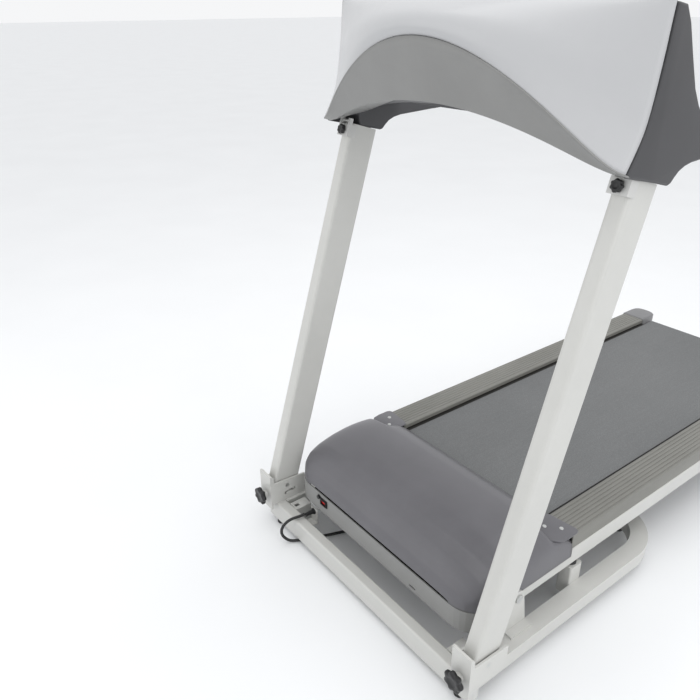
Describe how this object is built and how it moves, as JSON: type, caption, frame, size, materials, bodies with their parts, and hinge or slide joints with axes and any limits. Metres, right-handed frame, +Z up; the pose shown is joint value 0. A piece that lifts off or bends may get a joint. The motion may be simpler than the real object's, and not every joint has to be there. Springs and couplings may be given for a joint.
{
  "type": "treadmill",
  "caption": "Motorised home treadmill with a folding running deck, white frame, grey motor hood, leaning uprights and a wide console with handrails.",
  "frame": {"origin": "on the floor under the middle of the machine, cords included", "axes": "+Z up, the motor end and the front of the console face -Y, the runner's left is -X"},
  "size_m": [0.81, 1.732, 1.335],
  "materials": {
    "white_paint": "satin",
    "end_cap_plastic": "satin",
    "rubber": "matte",
    "zinc": "satin",
    "steel": "polished",
    "black_plastic": "matte",
    "wheel_rubber": "matte",
    "deck_wood": "satin",
    "belt": "matte",
    "alloy": "satin",
    "rail_plastic": "satin",
    "cap_plastic": "satin",
    "hood_plastic": "satin",
    "cover_plastic": "satin",
    "gloss_black": "glossy",
    "red_plastic": "glossy",
    "green_plastic": "glossy",
    "shell_silver": "satin",
    "charcoal": "satin"
  },
  "bodies": {
    "base": {"front_tube": "white_paint", "base_loop": "white_paint", "tube_end_caps": "end_cap_plastic", "rubber_pads": "rubber", "upright_brackets": "white_paint", "wheel_housings": "white_paint", "wheel_axles": "zinc", "deck_pivot_plates": "white_paint", "deck_pivot_bolts": "zinc", "rest_posts": "white_paint", "strut_crossbar": "white_paint", "gland_plate": "white_paint", "strain_relief": "black_plastic", "mains_lead": "rubber", "lead_coil": "rubber", "mains_plug": "black_plastic", "upright_pivot_pins": "zinc"},
    "deck": {"deck_side_tubes": "white_paint", "deck_crossbars": "white_paint", "deck_board": "deck_wood", "deck_cushions": "rubber", "running_belt": "belt", "roller_axles": "zinc", "side_rail_left": "rail_plastic", "side_rail_right": "rail_plastic", "rear_cap_left": "cap_plastic", "rear_cap_right": "cap_plastic", "rear_legs": "white_paint", "motor_hood": "hood_plastic", "front_cover": "cover_plastic", "belly_pan": "gloss_black", "hood_screws": "zinc", "drive_motor": "black_plastic", "drive_belt": "rubber", "motor_controller": "alloy", "switch_bezel": "black_plastic"},
    "strut_barrel": {"strut_cylinder": "gloss_black"},
    "strut_slider": {"strut_rod": "steel"},
    "mast": {"upright_left": "white_paint", "upright_right": "white_paint", "console_hinge_blocks": "end_cap_plastic"},
    "console": {"console_shell": "shell_silver", "console_panel": "charcoal", "side_arm_left": "charcoal", "side_arm_right": "charcoal"},
    "wheel_left": {"transport_wheel_left": "wheel_rubber"},
    "wheel_right": {"transport_wheel_right": "wheel_rubber"},
    "roller_front": {"front_roller": "steel"},
    "roller_rear": {"rear_roller": "steel"},
    "motor_rotor": {"motor_flywheel": "steel"},
    "rocker": {"power_rocker": "red_plastic"},
    "reset": {"reset_button": "black_plastic"},
    "knob_lower_left": {"lower_knob_left": "black_plastic"},
    "knob_lower_right": {"lower_knob_right": "black_plastic"},
    "knob_upper_left": {"upper_knob_left": "black_plastic"},
    "knob_upper_right": {"upper_knob_right": "black_plastic"},
    "start": {"start_button": "green_plastic"},
    "stop": {"stop_button": "red_plastic"},
    "key": {"safety_key": "red_plastic"}
  },
  "joints": [
    {"name": "deck_fold", "type": "hinge", "parent": "base", "child": "deck", "pos_m": [0, -0.634, 0.155], "axis": [1, 0, 0], "range_deg": [0, 70]},
    {"name": "strut_swing", "type": "hinge", "parent": "base", "child": "strut_barrel", "pos_m": [0, -0.579, 0.055], "axis": [1, 0, 0], "range_deg": [0, 67]},
    {"name": "strut_stroke", "type": "slide", "parent": "strut_barrel", "child": "strut_slider", "axis": [0, 0.9845, 0.1754], "range_m": [0, 0.1292]},
    {"name": "upright_fold", "type": "hinge", "parent": "base", "child": "mast", "pos_m": [0, -0.787, 0.116], "axis": [1, 0, 0], "range_deg": [-55, 0]},
    {"name": "console_fold", "type": "hinge", "parent": "mast", "child": "console", "pos_m": [0, -0.55044, 1.06705], "axis": [1, 0, 0], "range_deg": [0, 40]},
    {"name": "wheel_left_spin", "type": "hinge", "parent": "base", "child": "wheel_left", "pos_m": [-0.3085, -0.771, 0.038], "axis": [1, 0, 0], "continuous": true},
    {"name": "wheel_right_spin", "type": "hinge", "parent": "base", "child": "wheel_right", "pos_m": [0.3085, -0.771, 0.038], "axis": [1, 0, 0], "continuous": true},
    {"name": "front_roller_spin", "type": "hinge", "parent": "deck", "child": "roller_front", "pos_m": [0, -0.494, 0.184], "axis": [1, 0, 0], "continuous": true},
    {"name": "rear_roller_spin", "type": "hinge", "parent": "deck", "child": "roller_rear", "pos_m": [0, 0.82, 0.184], "axis": [1, 0, 0], "continuous": true},
    {"name": "motor_spin", "type": "hinge", "parent": "deck", "child": "motor_rotor", "pos_m": [0, -0.644, 0.19], "axis": [1, 0, 0], "continuous": true},
    {"name": "rocker_tilt", "type": "hinge", "parent": "deck", "child": "rocker", "pos_m": [-0.196, -0.765, 0.141], "axis": [1, 0, 0], "range_deg": [0, 12]},
    {"name": "reset_press", "type": "slide", "parent": "deck", "child": "reset", "axis": [0, -1, 0], "range_m": [-0.003, 0]},
    {"name": "lower_knob_left_turn", "type": "hinge", "parent": "base", "child": "knob_lower_left", "pos_m": [-0.374, -0.852, 0.098], "axis": [0, -1, 0], "range_deg": [-180, 180]},
    {"name": "lower_knob_right_turn", "type": "hinge", "parent": "base", "child": "knob_lower_right", "pos_m": [0.374, -0.852, 0.098], "axis": [0, -1, 0], "range_deg": [-180, 180]},
    {"name": "upper_knob_left_turn", "type": "hinge", "parent": "mast", "child": "knob_upper_left", "pos_m": [-0.374, -0.56199, 1.04754], "axis": [0, -0.9583, 0.2857], "range_deg": [-180, 180]},
    {"name": "upper_knob_right_turn", "type": "hinge", "parent": "mast", "child": "knob_upper_right", "pos_m": [0.374, -0.56199, 1.04754], "axis": [0, -0.9583, 0.2857], "range_deg": [-180, 180]},
    {"name": "start_press", "type": "slide", "parent": "console", "child": "start", "axis": [0, 0.8706, 0.4921], "range_m": [-0.003, 0]},
    {"name": "stop_press", "type": "slide", "parent": "console", "child": "stop", "axis": [0, 0.8706, 0.4921], "range_m": [-0.003, 0]},
    {"name": "key_pull", "type": "slide", "parent": "console", "child": "key", "axis": [0, 0.8706, 0.4921], "range_m": [0, 0.03]}
  ],
  "couplings": [
    {"joint": "strut_swing", "follows": "deck_fold", "ratio": 0.93346},
    {"joint": "strut_stroke", "follows": "deck_fold", "m_per_rad": 0.10408},
    {"joint": "rear_roller_spin", "follows": "front_roller_spin", "ratio": 1},
    {"joint": "motor_spin", "follows": "front_roller_spin", "ratio": 1.8889}
  ]
}
